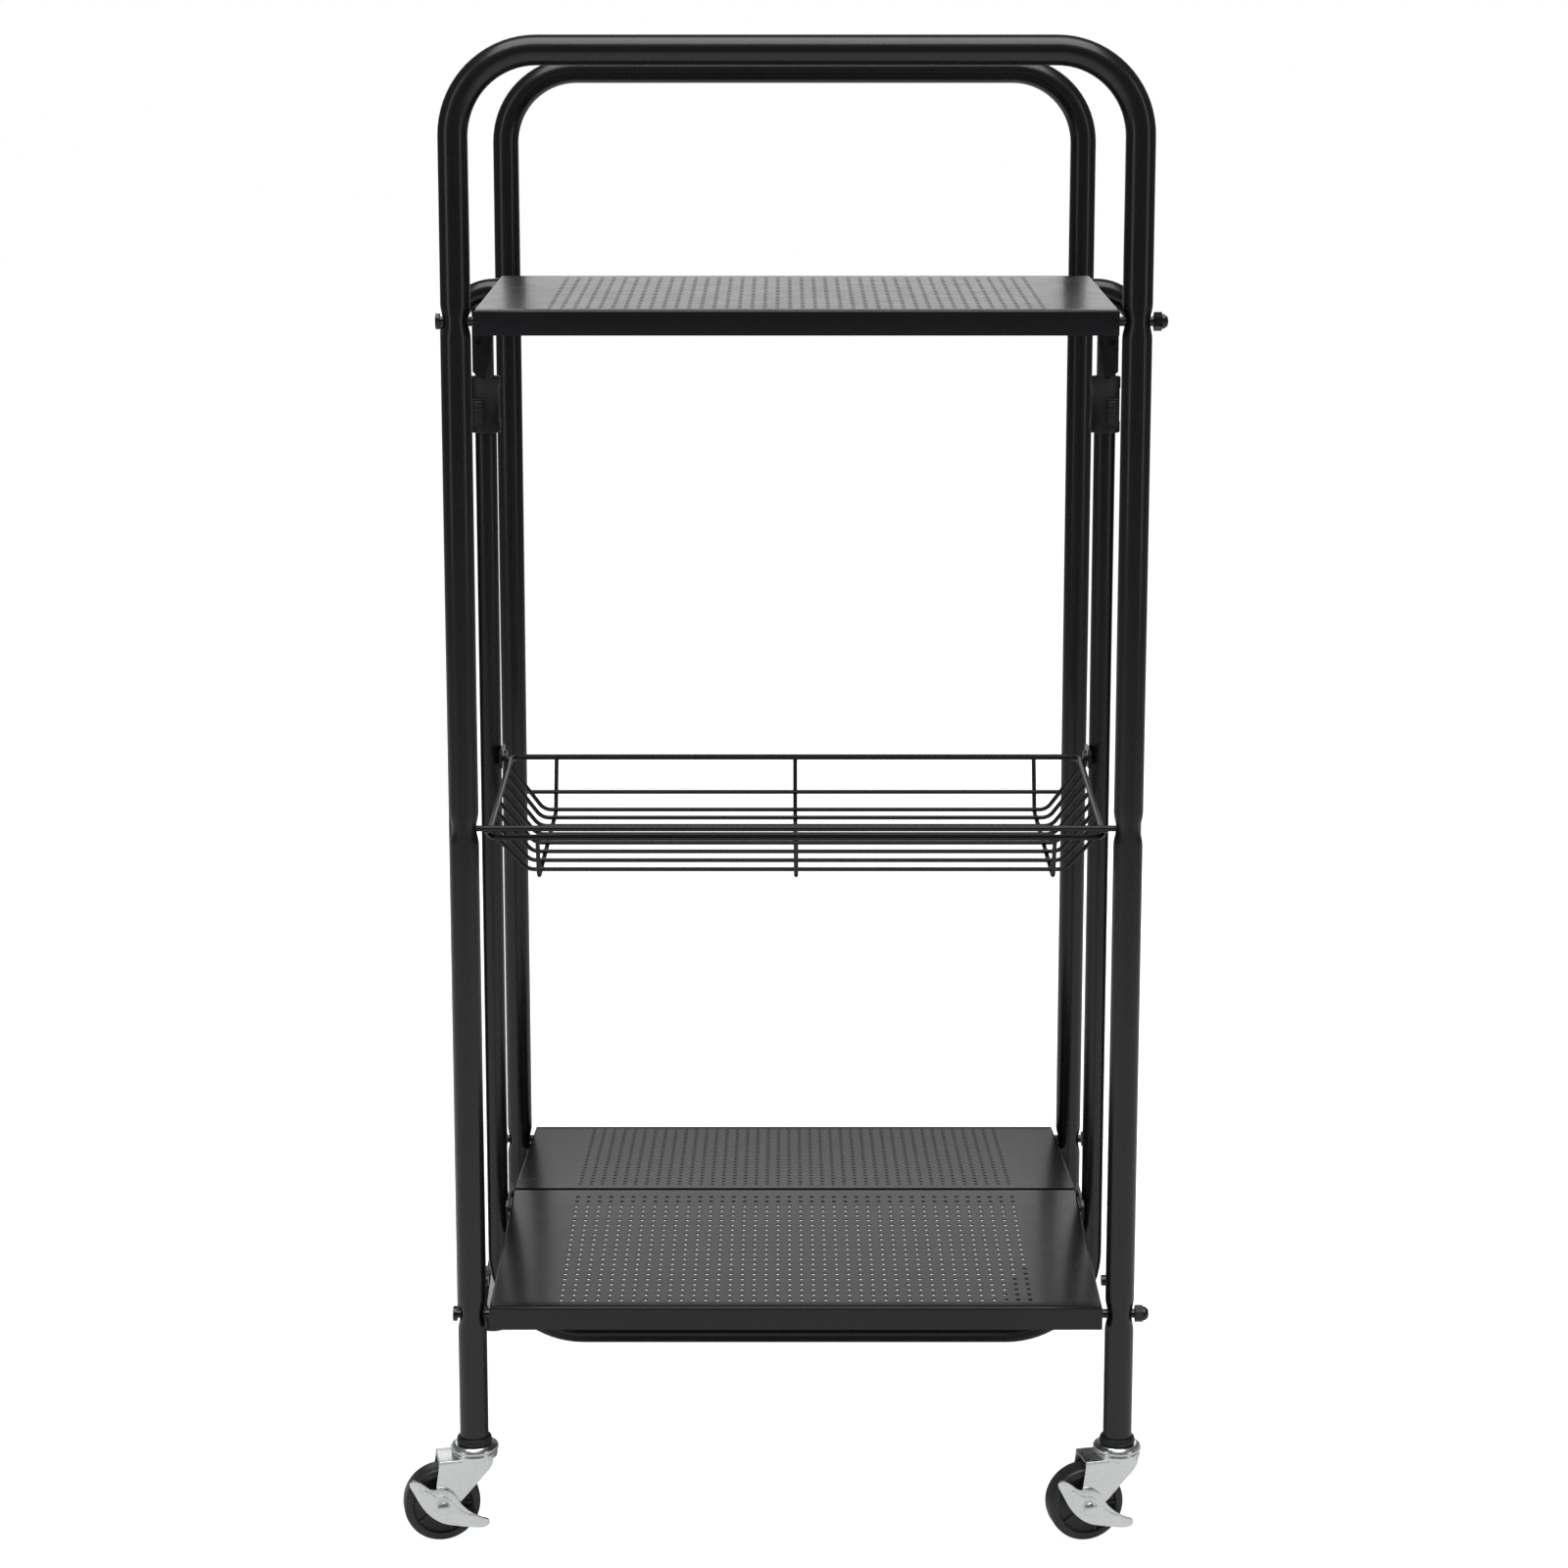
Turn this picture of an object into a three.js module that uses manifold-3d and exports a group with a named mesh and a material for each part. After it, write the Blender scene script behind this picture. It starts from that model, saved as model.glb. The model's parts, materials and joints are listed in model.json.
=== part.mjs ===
// Folding rolling utility cart, millimetres, +Z up, its front facing -Y.
// Two inverted-U tube frames on casters are joined by two bi-fold shelves. A frame between them, made of a lift
// loop and a slim U tube, carries the fold of both shelves and the back of a wire basket. Every link has the same
// length and slope, so lifting the middle draws the two tube frames together and keeps them upright.
import * as THREE from "three";
import { mergeVertices } from "three/addons/utils/BufferGeometryUtils.js";
import Module from "manifold-3d";

const wasm = await Module();
wasm.setup();

// ---------- driving dimensions ----------
const LEG_SPACING = 430; // centre to centre, left to right
const LEG_R = 9.5;
const LEG_BORE_R = 8.3;
const FRAME_DEPTH = 370; // centre to centre, front to rear
const HANDLE_Z = 979; // centre of a frame's top tube
const LEG_END_Z = 70;
const HANDLE_BEND = 53;

const SHELF_WIDTH = 406;
const SHELF_SHEET = 1;
const SHELF_LIP = 16;
const SHELF_FRONT_Z = { top: 818, bottom: 162 }; // upper surface at the front edge
const SHELF_SLOPE = THREE.MathUtils.degToRad(4.5); // each half rises towards the fold
const EDGE_TO_PIVOT = 8;
const FOLD_TO_PIVOT = 16; // each half turns on its own pin beside the fold line
const PIVOT_DEPTH = 8; // below the shelf's upper surface
const FOLD_NOSE_R = 7.5;

const LIFT_SPACING = 476;
const LIFT_R = 8;
const LIFT_BORE_R = 6.9;
const LIFT_BEND = 30;
const LIFT_END_Z = 88;

const SLIM_R = 7.5;
const SLIM_BORE_R = 6.4;
const SLIM_BOTTOM_Z = 68.5;
const SLIM_BEND = 61;

const SLEEVE_R = 10.5;
const SLEEVE_TOP = 69; // below the fold of the top shelf
const SLEEVE_HEIGHT = 39;

const BASKET_ROD_Z = 484;
const BASKET_HALF_WIDTH = 200;
const BASKET_FLOOR_HALF_WIDTH = 176;
const RIM_R = 2;
const WIRE_R = 1.5;
const FLOOR_WIRES = 8;

const WHEEL_R = 25.5;
const WHEEL_WIDTH = 18;
const CASTER_TRAIL = 22.5;
const CASTER_YAW = THREE.MathUtils.degToRad(12);

const PIVOT_ROD_R = 3;
const PIN_R = 2.5;
const CLEARANCE = 0.4;
const PLATE = 2;
const HINGE_PLATE_X = 205.2; // inner face of the plates that carry the fold pins

// ---------- dimensions that follow ----------
const LEG_X = LEG_SPACING / 2;
const LEG_Y = FRAME_DEPTH / 2;
const LINK_RUN = LEG_Y - FOLD_TO_PIVOT;
const LINK_RISE = LINK_RUN * Math.tan(SHELF_SLOPE);
const LINK_LENGTH = LINK_RUN / Math.cos(SHELF_SLOPE);
const EDGE_RISE = PIVOT_DEPTH * Math.cos(SHELF_SLOPE) - EDGE_TO_PIVOT * Math.sin(SHELF_SLOPE);
const PIVOT_Z = { top: SHELF_FRONT_Z.top - EDGE_RISE, bottom: SHELF_FRONT_Z.bottom - EDGE_RISE };
const FOLD_PIN_Z = { top: PIVOT_Z.top + LINK_RISE, bottom: PIVOT_Z.bottom + LINK_RISE };
const FOLD_SURFACE_RISE = LEG_Y * Math.tan(SHELF_SLOPE) + PIVOT_DEPTH / Math.cos(SHELF_SLOPE);
const FOLD_SURFACE_Z = PIVOT_Z.top + FOLD_SURFACE_RISE;
const LIFT_BAR_Z = FOLD_SURFACE_Z - SHELF_SHEET - LIFT_R - 0.6;
const SLEEVE_Z = FOLD_SURFACE_Z - SLEEVE_TOP - SLEEVE_HEIGHT;

// ---------- materials ----------
const material = (color, roughness, metalness) => new THREE.MeshStandardMaterial({ color, roughness, metalness });
const BLACK_STEEL = material(0x17181a, 0.42, 0.35);
const SHELF_STEEL = material(0x1c1e20, 0.36, 0.4);
const BLACK_WIRE = material(0x151617, 0.4, 0.3);
const BLACK_PLASTIC = material(0x121213, 0.5, 0);
const WHEEL_PLASTIC = material(0x1d1d1e, 0.55, 0);
const ZINC = material(0xc9cdd0, 0.25, 1);

// ---------- helpers ----------
const vec = (x, y, z) => new THREE.Vector3(x, y, z);

function solidOf(geometry) {
  const bare = new THREE.BufferGeometry().setAttribute("position", geometry.getAttribute("position"));
  if (geometry.index) bare.setIndex(geometry.index);
  const merged = mergeVertices(bare, 1e-4);
  const triVerts = new Uint32Array(merged.index.array);
  return new wasm.Manifold(
    new wasm.Mesh({ numProp: 3, vertProperties: merged.attributes.position.array, triVerts }),
  );
}

function geometryOf(solid) {
  const mesh = solid.getMesh();
  return new THREE.BufferGeometry()
    .setAttribute("position", new THREE.BufferAttribute(new Float32Array(mesh.vertProperties), 3))
    .setIndex(new THREE.BufferAttribute(new Uint32Array(mesh.triVerts), 1));
}

const join = (...pieces) => pieces.map(solidOf).reduce((all, next) => all.add(next));
const cut = (solid, ...tools) => tools.map(solidOf).reduce((left, tool) => left.subtract(tool), solid);

// A node: one named mesh.
function node(name, geometry, look) {
  const mesh = new THREE.Mesh(geometry, look);
  mesh.name = name;
  return mesh;
}

const nodeOf = (name, solid, look) => node(name, geometryOf(solid), look);

function box(x0, x1, y0, y1, z0, z1) {
  const made = new THREE.BoxGeometry(Math.abs(x1 - x0), y1 - y0, z1 - z0);
  return made.translate((x0 + x1) / 2, (y0 + y1) / 2, (z0 + z1) / 2);
}

// A round bar along X, Y or Z between two values of that axis, at the given other two coordinates.
function bar(axis, from, to, a, b, radius, sides = 12) {
  const made = new THREE.CylinderGeometry(radius, radius, Math.abs(to - from), sides);
  const middle = (from + to) / 2;
  if (axis === "x") return made.rotateZ(Math.PI / 2).translate(middle, a, b);
  if (axis === "y") return made.translate(a, middle, b);
  return made.rotateX(Math.PI / 2).translate(a, b, middle);
}

// A turned piece about Z from [radius, z] points that start and end on the axis, given from the bottom up.
function turned(points, sides) {
  const profile = points.map(([radius, z]) => new THREE.Vector2(radius, z));
  return new THREE.LatheGeometry(profile, sides).rotateX(Math.PI / 2);
}

// A plate cut from an outline of [a, b] points: in the YZ plane with thickness along X, or in XZ along Y.
function plateYZ(outline, x0, x1) {
  const shape = new THREE.Shape(outline.map(([y, z]) => new THREE.Vector2(y, z)));
  const made = new THREE.ExtrudeGeometry(shape, { depth: x1 - x0, bevelEnabled: false, curveSegments: 8 });
  return made.rotateX(Math.PI / 2).rotateZ(Math.PI / 2).translate(x0, 0, 0);
}

function plateXZ(shape, y0, y1) {
  const made = new THREE.ExtrudeGeometry(shape, { depth: y1 - y0, bevelEnabled: false, curveSegments: 8 });
  return made.rotateX(Math.PI / 2).translate(0, y1, 0);
}

// A tube's centreline: straight runs with round corners, holding only the stations that its shape needs.
class Route extends THREE.Curve {
  constructor(corners, radius, arcSteps) {
    super();
    this.stations = [];
    const last = corners.length - 1;
    corners.forEach((corner, i) => {
      const before = corners[Math.max(i - 1, 0)];
      const after = corners[Math.min(i + 1, last)];
      const arriving = corner.clone().sub(before).normalize();
      const leaving = after.clone().sub(corner).normalize();
      if (i === 0 || i === last) {
        this.stations.push({ point: corner, tangent: i === 0 ? leaving : arriving });
        return;
      }
      const turn = arriving.angleTo(leaving);
      const setback = radius * Math.tan(turn / 2);
      const inward = leaving.clone().sub(arriving.clone().multiplyScalar(Math.cos(turn))).normalize();
      const start = corner.clone().addScaledVector(arriving, -setback);
      for (let k = 0; k <= arcSteps; k += 1) {
        const angle = (turn * k) / arcSteps;
        const point = start.clone().addScaledVector(arriving, radius * Math.sin(angle));
        point.addScaledVector(inward, radius * (1 - Math.cos(angle)));
        const tangent = arriving.clone().multiplyScalar(Math.cos(angle)).addScaledVector(inward, Math.sin(angle));
        this.stations.push({ point, tangent });
      }
    });
  }

  station(t) {
    return this.stations[Math.round(t * (this.stations.length - 1))];
  }

  getUtoTmapping(u) {
    return u;
  }

  getPoint(t) {
    return this.station(t).point.clone();
  }

  getTangent(t) {
    return this.station(t).tangent.clone();
  }
}

function rodAlong(corners, bend, arcSteps, radius, sides) {
  const route = new Route(corners, bend, arcSteps);
  const section = new THREE.Shape();
  for (let i = 0; i < sides; i += 1) {
    const angle = (2 * Math.PI * (i + 0.5)) / sides;
    const point = [radius * Math.cos(angle), radius * Math.sin(angle)];
    if (i === 0) section.moveTo(...point);
    else section.lineTo(...point);
  }
  return new THREE.ExtrudeGeometry(section, { steps: route.stations.length - 1, extrudePath: route });
}

// A bent tube, open at both ends.
function tubeAlong(corners, bend, radius, bore) {
  const run = corners.map((corner) => corner.clone());
  const overshoot = 2;
  const last = run.length - 1;
  const startOut = run[0].clone().sub(run[1]).setLength(overshoot);
  const endOut = run[last].clone().sub(run[last - 1]).setLength(overshoot);
  run[0].add(startOut);
  run[last].add(endOut);
  return cut(solidOf(rodAlong(corners, bend, 5, radius, 12)), rodAlong(run, bend, 5, bore, 8));
}

// ---------- tube frames ----------
function endFrame(name, y) {
  const corners = [vec(-LEG_X, y, LEG_END_Z), vec(-LEG_X, y, HANDLE_Z), vec(LEG_X, y, HANDLE_Z)];
  corners.push(vec(LEG_X, y, LEG_END_Z));
  const reach = LEG_X + LEG_R + 1;
  const drills = Object.values(PIVOT_Z).map((z) => bar("x", -reach, reach, y, z, PIVOT_ROD_R + CLEARANCE));
  if (y < 0) drills.push(bar("x", -LEG_X, LEG_X, y, BASKET_ROD_Z, RIM_R + CLEARANCE));
  return nodeOf(name, cut(tubeAlong(corners, HANDLE_BEND, LEG_R, LEG_BORE_R), ...drills), BLACK_STEEL);
}

// The rod that a shelf half turns on: through one leg, the shelf's side lips and the other leg, head on the left.
function pivotRod(name, y, z) {
  const head = bar("x", -LEG_X - LEG_R - 3, -LEG_X - LEG_R - 0.4, y, z, 5);
  const shank = bar("x", -LEG_X - LEG_R - 1, LEG_X + LEG_R + 0.4, y, z, PIVOT_ROD_R);
  return nodeOf(name, join(head, shank), BLACK_STEEL);
}

// The cap nut on the rod's right end: a hexagon with a domed end.
function capNut(name, y, z) {
  const start = LEG_X + LEG_R + 0.8;
  const hexagon = bar("x", start, start + 5, y, z, 6, 6);
  const dome = new THREE.LatheGeometry(
    [[0, 0], [4.8, 0], [4.6, 2], [3, 4], [0, 4.6]].map(([r, h]) => new THREE.Vector2(r, h)),
    12,
  );
  dome.rotateZ(-Math.PI / 2).translate(start + 4.6, y, z);
  return nodeOf(name, join(hexagon, dome), BLACK_STEEL);
}

// ---------- shelves ----------
// Half a shelf lies flat here with its outer pivot at the origin and its fold edge towards +Y.
function shelfHalf(name) {
  const half = SHELF_WIDTH / 2;
  const under = PIVOT_DEPTH - SHELF_LIP;
  const foldEdge = LEG_Y / Math.cos(SHELF_SLOPE) - PIVOT_DEPTH * Math.tan(SHELF_SLOPE) - 1;
  const pieces = [box(-half, half, -EDGE_TO_PIVOT, foldEdge, PIVOT_DEPTH - SHELF_SHEET, PIVOT_DEPTH)];
  pieces.push(box(-half, half, -EDGE_TO_PIVOT, -EDGE_TO_PIVOT + SHELF_SHEET, under, PIVOT_DEPTH));
  const flange = LINK_LENGTH - 12;
  pieces.push(box(-half, half, flange, flange + SHELF_SHEET, under + 2, PIVOT_DEPTH));
  const tools = [];
  for (const side of [-1, 1]) {
    const outer = side * half;
    const inner = side * (half - SHELF_SHEET);
    pieces.push(box(inner, outer, -EDGE_TO_PIVOT, LINK_LENGTH, under + 0.5, PIVOT_DEPTH));
    pieces.push(bar("x", inner, outer, LINK_LENGTH, 0, FOLD_NOSE_R, 12));
    tools.push(bar("x", inner - side, outer + side, 0, 0, PIVOT_ROD_R + CLEARANCE));
    tools.push(bar("x", inner - side, outer + side, LINK_LENGTH, 0, PIN_R + CLEARANCE));
  }
  return nodeOf(name, cut(join(...pieces), ...tools), SHELF_STEEL);
}

// Places a front half (end -1) or a rear half (end 1) on its outer pivot, sloping up to the fold.
function placedShelf(name, end, z) {
  const group = new THREE.Group();
  group.position.set(0, end * LEG_Y, z);
  group.rotation.set(SHELF_SLOPE, 0, end > 0 ? Math.PI : 0, "ZXY");
  group.add(shelfHalf(name));
  return group;
}

// ---------- centre frame ----------
function liftLoop() {
  const x = LIFT_SPACING / 2;
  const corners = [vec(-x, 0, LIFT_END_Z), vec(-x, 0, LIFT_BAR_Z), vec(x, 0, LIFT_BAR_Z), vec(x, 0, LIFT_END_Z)];
  return nodeOf("lift_loop", tubeAlong(corners, LIFT_BEND, LIFT_R, LIFT_BORE_R), BLACK_STEEL);
}

function slimTube() {
  const top = SLEEVE_Z + SLEEVE_HEIGHT - 4;
  const corners = [vec(-LEG_X, 0, top), vec(-LEG_X, 0, SLIM_BOTTOM_Z), vec(LEG_X, 0, SLIM_BOTTOM_Z)];
  corners.push(vec(LEG_X, 0, top));
  return nodeOf("slim_u_tube", tubeAlong(corners, SLIM_BEND, SLIM_R, SLIM_BORE_R), BLACK_STEEL);
}

// The rounded plug in the lower end of each leg of the lift loop.
function loopPlug(name, side) {
  const profile = [[0, -6.5], [4, -5.6], [7, -3], [8, -0.3], [6.2, -0.3], [6.2, 12], [0, 12]];
  const plug = turned(profile, 14).translate(side * (LIFT_SPACING / 2), 0, LIFT_END_Z);
  return node(name, plug, BLACK_PLASTIC);
}

// The short stub that joins each leg of the lift loop to the slim tube beside it.
function linkStub(name, side) {
  const from = LEG_X + SLIM_R + 0.3;
  const to = LIFT_SPACING / 2 - LIFT_R - 0.3;
  return node(name, bar("x", side * from, side * to, 0, LIFT_END_Z + 20, 4), BLACK_STEEL);
}

// Plates that carry the two fold pins of a shelf on one side. A top one also holds the loop and the sleeve.
function foldPins(side, z) {
  const lipFace = SHELF_WIDTH / 2;
  return [-1, 1].map((end) => bar("x", side * (lipFace - 3), side * HINGE_PLATE_X, end * FOLD_TO_PIVOT, z, PIN_R));
}

function sidePlate(side, outline) {
  return side > 0
    ? plateYZ(outline, HINGE_PLATE_X, HINGE_PLATE_X + PLATE)
    : plateYZ(outline, -HINGE_PLATE_X - PLATE, -HINGE_PLATE_X);
}

function topBracket(name, side) {
  const z = FOLD_PIN_Z.top;
  const outline = [[-24.5, z + 2], [-22, z + 4.5], [22, z + 4.5], [24.5, z + 2], [24.5, z - 12], [12, z - 28]];
  outline.push([-12, z - 28], [-24.5, z - 12]);
  const flange = new THREE.Shape();
  const outer = side * 222.5;
  flange.moveTo(side * HINGE_PLATE_X, z - 12);
  flange.lineTo(outer, z - 12);
  flange.lineTo(outer, z - 56);
  flange.lineTo(side * 219.5, z - 59);
  flange.lineTo(side * 214, z - 59);
  flange.lineTo(side * 210, z - 28);
  flange.lineTo(side * HINGE_PLATE_X, z - 26);
  flange.closePath();
  const plates = [sidePlate(side, outline), plateXZ(flange, -12, -12 + PLATE), ...foldPins(side, z)];
  const saddle = bar("x", side * 200, side * 215, 0, LIFT_BAR_Z, LIFT_R + CLEARANCE, 16);
  const open = box(side * 200, side * 215, -LIFT_R - CLEARANCE, LIFT_R + CLEARANCE, LIFT_BAR_Z, z + 10);
  const screwHole = bar("y", -14, -8, side * 217.5, z - 36, 2.2);
  return nodeOf(name, cut(join(...plates), saddle, open, screwHole), BLACK_STEEL);
}

function bottomBracket(name, side) {
  const z = FOLD_PIN_Z.bottom;
  const outline = [[-23, z - 6], [-23, z + 4], [-19, z + 7], [19, z + 7], [23, z + 4], [23, z - 6]];
  outline.push([8, z - 22], [-8, z - 22]);
  return nodeOf(name, join(sidePlate(side, outline.reverse()), ...foldPins(side, z)), BLACK_STEEL);
}

// The moulded sleeve on the top end of the slim tube, with a tongue behind the bracket's flange.
function sleeve(name, side) {
  const top = SLEEVE_Z + SLEEVE_HEIGHT;
  const x = side * LEG_X;
  const body = bar("z", SLEEVE_Z, top, x, 0, SLEEVE_R, 20);
  const tongue = box(x - 6, x + 6, -9.6, 3, top - 2, top + 30);
  const bore = bar("z", SLEEVE_Z - 2, top - 3.6, x, 0, SLIM_R + 0.3, 16);
  const button = side * (LEG_X + 3.6);
  const window = box(button - 3.5, button + 3.5, -SLEEVE_R - 1, -SLIM_R - 0.6, SLEEVE_Z + 6, SLEEVE_Z + 23);
  return nodeOf(name, cut(join(body, tongue), bore, window), BLACK_PLASTIC);
}

function releaseButton(name, side) {
  const x = side * (LEG_X + 3.6);
  const cap = box(x - 3.1, x + 3.1, -SLEEVE_R - 2.4, -SLIM_R - 2.9, SLEEVE_Z + 6.5, SLEEVE_Z + 22.5);
  return node(name, cap, BLACK_PLASTIC);
}

// The lug on the slim tube that carries one rear corner of the basket.
function basketLug(name, side) {
  const z = BASKET_ROD_Z + LINK_RISE;
  const outline = [[-22, z - 4], [-18, z - 6.5], [5, z - 6.5], [5, z + 6.5], [-18, z + 6.5], [-22, z + 4]];
  const pin = bar("x", side * (BASKET_HALF_WIDTH + 2.4), side * HINGE_PLATE_X, -FOLD_TO_PIVOT, z, RIM_R);
  return nodeOf(name, join(sidePlate(side, outline), pin), BLACK_STEEL);
}

// ---------- basket ----------
// It lies flat here with its front rod at the origin and its back towards +Y.
function basket() {
  const back = LINK_LENGTH + 8;
  const rimFront = { y: 3, z: -7 };
  const rimBack = { y: back, z: -1 };
  const floorFront = { y: 18, z: -36 };
  const floorBack = { y: back - 18, z: -37 };
  const w = BASKET_HALF_WIDTH;
  const wires = [bar("x", -LEG_X + 3, LEG_X - 3, 0, 0, RIM_R, 8)];
  for (const side of [-1, 1]) {
    const rim = [vec(-side, rimFront.y, rimFront.z), vec(side * w, rimFront.y, rimFront.z)];
    rim.push(vec(side * w, rimBack.y, rimBack.z), vec(-side, rimBack.y, rimBack.z));
    wires.push(rodAlong(rim, 7, 2, RIM_R, 6));
    const tie = [vec(side * (w - 1), 0, 0), vec(side * (w - 1), 12, -6.2)];
    wires.push(rodAlong(tie, 1, 1, RIM_R, 8));
    wires.push(bar("x", side * (w + 1), side * (w + 4.4), LINK_LENGTH, 0, 6, 12));
  }
  for (let i = 0; i < FLOOR_WIRES; i += 1) {
    const share = i / (FLOOR_WIRES - 1);
    const y = THREE.MathUtils.lerp(floorFront.y, floorBack.y, share);
    const z = THREE.MathUtils.lerp(floorFront.z, floorBack.z, share) + 2 * WIRE_R - 0.4;
    const rimShare = (y - rimFront.y) / (rimBack.y - rimFront.y);
    const rimZ = THREE.MathUtils.lerp(rimFront.z, rimBack.z, rimShare);
    const f = BASKET_FLOOR_HALF_WIDTH;
    const run = [vec(-w, y, rimZ), vec(-f, y, z), vec(f, y, z), vec(w, y, rimZ)];
    wires.push(rodAlong(run, 9, 1, WIRE_R, 5));
  }
  const backWireZ = THREE.MathUtils.lerp(rimBack.z, floorBack.z, 0.62);
  const backWireY = THREE.MathUtils.lerp(rimBack.y, floorBack.y + 3, 0.62) - 2;
  const lean = w - 12;
  wires.push(bar("x", -lean, lean, backWireY, backWireZ, WIRE_R, 6));
  for (const x of [-168, 0, 168]) {
    const run = [vec(x, rimFront.y, rimFront.z), vec(x, floorFront.y - 8, floorFront.z)];
    run.push(vec(x, floorBack.y + 3, floorBack.z), vec(x, rimBack.y, rimBack.z));
    wires.push(rodAlong(run, 9, 2, WIRE_R, 6));
  }
  const eyes = [-1, 1].map((side) => bar("x", side * (w + 2.02), side * (w + 5), LINK_LENGTH, 0, RIM_R + CLEARANCE));
  const placed = new THREE.Group();
  placed.position.set(0, -LEG_Y, BASKET_ROD_Z);
  placed.rotation.x = SHELF_SLOPE;
  placed.add(nodeOf("wire_basket", cut(join(...wires), ...eyes), BLACK_WIRE));
  return placed;
}

// ---------- casters ----------
// Each stands on its stem's axis at the origin, with its wheel trailing towards -X.
function socket(name) {
  const outer = [[5.9, 65.2], [11.7, 65.2], [11.7, 69.7], [7.5, 69.7], [7.5, 96], [5.9, 96], [5.9, 65.2]];
  return node(name, turned(outer, 12), BLACK_PLASTIC);
}

function stem(name) {
  const profile = [[0, 50.5], [7, 50.5], [7, 53.5], [4, 54.4], [4, 60.8], [16, 60.8], [16, 63], [13.5, 64.8]];
  profile.push([5.5, 64.8], [5.5, 93], [0, 94]);
  return node(name, turned(profile, 14), ZINC);
}

function fork(name) {
  const inner = WHEEL_WIDTH / 2 + 1;
  const outer = inner + PLATE;
  const cheek = new THREE.Shape();
  cheek.moveTo(11, 57.3);
  cheek.lineTo(10, 52);
  cheek.lineTo(-CASTER_TRAIL + 5, WHEEL_R - 4.5);
  cheek.absarc(-CASTER_TRAIL, WHEEL_R, 6.7, -0.73, -Math.PI - 0.2, true);
  cheek.lineTo(-25, 57.3);
  cheek.closePath();
  const cup = bar("z", 55.2, 60.4, 0, 0, 15.2, 20);
  const roof = box(-25, 6, -outer, outer, 55.2, 57.3);
  const cheeks = [plateXZ(cheek, -outer, -inner), plateXZ(cheek, inner, outer)];
  const kingpin = bar("z", 50, 62, 0, 0, 4.4, 16);
  const axle = bar("y", -20, 20, -CASTER_TRAIL, WHEEL_R, 3.3);
  return nodeOf(name, cut(join(cup, roof, ...cheeks), kingpin, axle), ZINC);
}

function axleBolt(name) {
  const end = WHEEL_WIDTH / 2 + 1 + PLATE;
  const shank = bar("y", -end - 3, end + 3, -CASTER_TRAIL, WHEEL_R, 3);
  const head = bar("y", -end - 5.6, -end - 2.6, -CASTER_TRAIL, WHEEL_R, 5);
  const nut = bar("y", end + 0.4, end + 4, -CASTER_TRAIL, WHEEL_R, 5.2, 6);
  return nodeOf(name, join(shank, head, nut), ZINC);
}

function wheel(name) {
  const half = WHEEL_WIDTH / 2;
  const bore = 3.4;
  const outline = [[bore, -half], [7, -half], [8, -half + 2], [19, -half + 2], [20, -half + 0.6]];
  outline.push([WHEEL_R - 1.5, -half + 0.6], [WHEEL_R, -half + 3]);
  const mirrored = outline.map(([radius, height]) => [radius, -height]).reverse();
  const profile = [...outline, ...mirrored, outline[0]].map(([radius, height]) => new THREE.Vector2(radius, height));
  const made = new THREE.LatheGeometry(profile, 20).translate(-CASTER_TRAIL, 0, WHEEL_R);
  return node(name, made, WHEEL_PLASTIC);
}

// The leaf-shaped brake lever on the outer cheek: a short lobe up behind the axle, a long one down ahead of it.
function brakeLever(name) {
  const leaf = new THREE.Shape();
  leaf.moveTo(-24, 4);
  leaf.quadraticCurveTo(-26, -2, -20, -5);
  leaf.quadraticCurveTo(-2, -13, 18, -7);
  leaf.quadraticCurveTo(34, -6, 40, -1.5);
  leaf.quadraticCurveTo(42, 3, 36, 3.5);
  leaf.quadraticCurveTo(20, 4, 8, 7);
  leaf.quadraticCurveTo(-6, 9, -20, 7);
  leaf.closePath();
  const face = -(WHEEL_WIDTH / 2 + 1 + PLATE + 0.4);
  const made = plateXZ(leaf, face - 1.8, face);
  made.rotateY(THREE.MathUtils.degToRad(28)).translate(-CASTER_TRAIL, 0, WHEEL_R);
  const hole = bar("y", -20, 0, -CASTER_TRAIL, WHEEL_R, 3.4);
  return nodeOf(name, cut(solidOf(made), hole), ZINC);
}

function caster(corner, x, y, braked) {
  const group = new THREE.Group();
  group.position.set(x, y, 0);
  group.add(socket(`stem_socket_${corner}`), stem(`caster_stem_${corner}`));
  const swivel = new THREE.Group();
  swivel.rotation.z = CASTER_YAW;
  swivel.add(fork(`caster_fork_${corner}`), axleBolt(`axle_bolt_${corner}`), wheel(`wheel_${corner}`));
  if (braked) swivel.add(brakeLever(`brake_lever_${corner}`));
  group.add(swivel);
  return group;
}

// ---------- assembly ----------
const cart = new THREE.Group();
for (const [label, end] of [["front", -1], ["rear", 1]]) {
  cart.add(endFrame(`${label}_frame_tube`, end * LEG_Y));
  for (const level of ["top", "bottom"]) {
    cart.add(pivotRod(`${label}_${level}_pivot_rod`, end * LEG_Y, PIVOT_Z[level]));
    cart.add(capNut(`${label}_${level}_cap_nut`, end * LEG_Y, PIVOT_Z[level]));
    cart.add(placedShelf(`${level}_shelf_${label}`, end, PIVOT_Z[level]));
  }
  for (const [hand, side] of [["left", -1], ["right", 1]]) {
    cart.add(caster(`${label}_${hand}`, side * LEG_X, end * LEG_Y, end < 0));
  }
}
cart.add(liftLoop(), slimTube(), basket());
for (const [hand, side] of [["left", -1], ["right", 1]]) {
  cart.add(loopPlug(`loop_plug_${hand}`, side), linkStub(`link_stub_${hand}`, side));
  cart.add(topBracket(`top_bracket_${hand}`, side), bottomBracket(`bottom_bracket_${hand}`, side));
  cart.add(sleeve(`tube_sleeve_${hand}`, side), releaseButton(`release_button_${hand}`, side));
  cart.add(basketLug(`basket_lug_${hand}`, side));
}

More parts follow.
